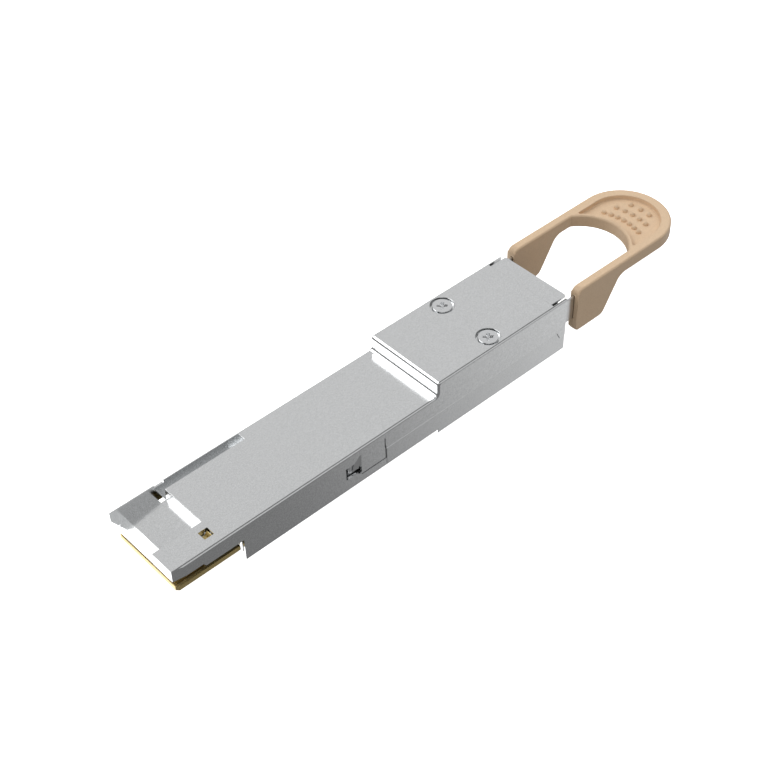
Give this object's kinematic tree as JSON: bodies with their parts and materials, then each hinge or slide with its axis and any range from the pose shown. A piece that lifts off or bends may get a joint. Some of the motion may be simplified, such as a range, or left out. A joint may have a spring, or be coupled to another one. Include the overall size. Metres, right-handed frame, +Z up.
{
  "type": "optical transceiver module",
  "caption": "Pluggable optical transceiver module: slim stepped metal housing with a card-edge nose, a rear optical port and a sprung pull tab that draws back the side latches.",
  "frame": {"origin": "on the plane of the lowest face, under the middle of the module's length and width", "axes": "+X runs from the card-edge nose to the pull tab, +Z is up out of the flat cover plate, and +Y is on the left when looking along +X"},
  "size_m": [0.1316, 0.0192, 0.0132],
  "materials": {
    "satin_metal": "satin, fine grained",
    "cast_metal": "satin, cast",
    "spring_steel": "smooth",
    "screw_metal": "bright",
    "beige_plastic": "fine matte grain",
    "board_laminate": "glossy mask",
    "contact_gold": "polished",
    "chip_black": "matte",
    "pad_grey": "matte",
    "glass_block": "clear",
    "ribbon_jacket": "smooth",
    "port_plastic": "moulded",
    "ferrule_plastic": "moulded",
    "gasket_elastomer": "matte"
  },
  "bodies": {
    "housing": {"top_cover": "satin_metal", "base": "cast_metal", "screw_left": "screw_metal", "screw_right": "screw_metal", "return_spring_left": "spring_steel", "return_spring_right": "spring_steel", "main_board": "board_laminate", "contacts_top": "contact_gold", "contacts_bottom": "contact_gold", "signal_processor": "chip_black", "processor_pad": "pad_grey", "photonics_engine": "chip_black", "engine_pad": "pad_grey", "clock_crystal": "screw_metal", "controller": "chip_black", "power_inductor_left": "gasket_elastomer", "power_inductor_right": "gasket_elastomer", "capacitor_1": "pad_grey", "capacitor_2": "pad_grey", "laser_left": "screw_metal", "laser_right": "screw_metal", "shield_gasket_left": "gasket_elastomer", "shield_gasket_right": "gasket_elastomer", "guide_pin_left": "screw_metal", "guide_pin_right": "screw_metal", "fiber_ribbon_left": "ribbon_jacket", "fiber_ribbon_right": "ribbon_jacket", "fiber_block": "glass_block", "ferrule_clip": "satin_metal", "fiber_ferrule": "ferrule_plastic", "port_housing": "port_plastic"},
    "latch": {"pull_tab": "beige_plastic", "latch_arm_left": "spring_steel", "latch_arm_right": "spring_steel"}
  },
  "joints": [
    {"name": "latch_slide", "type": "slide", "parent": "housing", "child": "latch", "axis": [1, 0, 0], "range_m": [0, 0.0018], "stiffness_N_per_m": 400, "springref_m": -0.002, "deforming": ["return_spring_left", "return_spring_right"]}
  ]
}
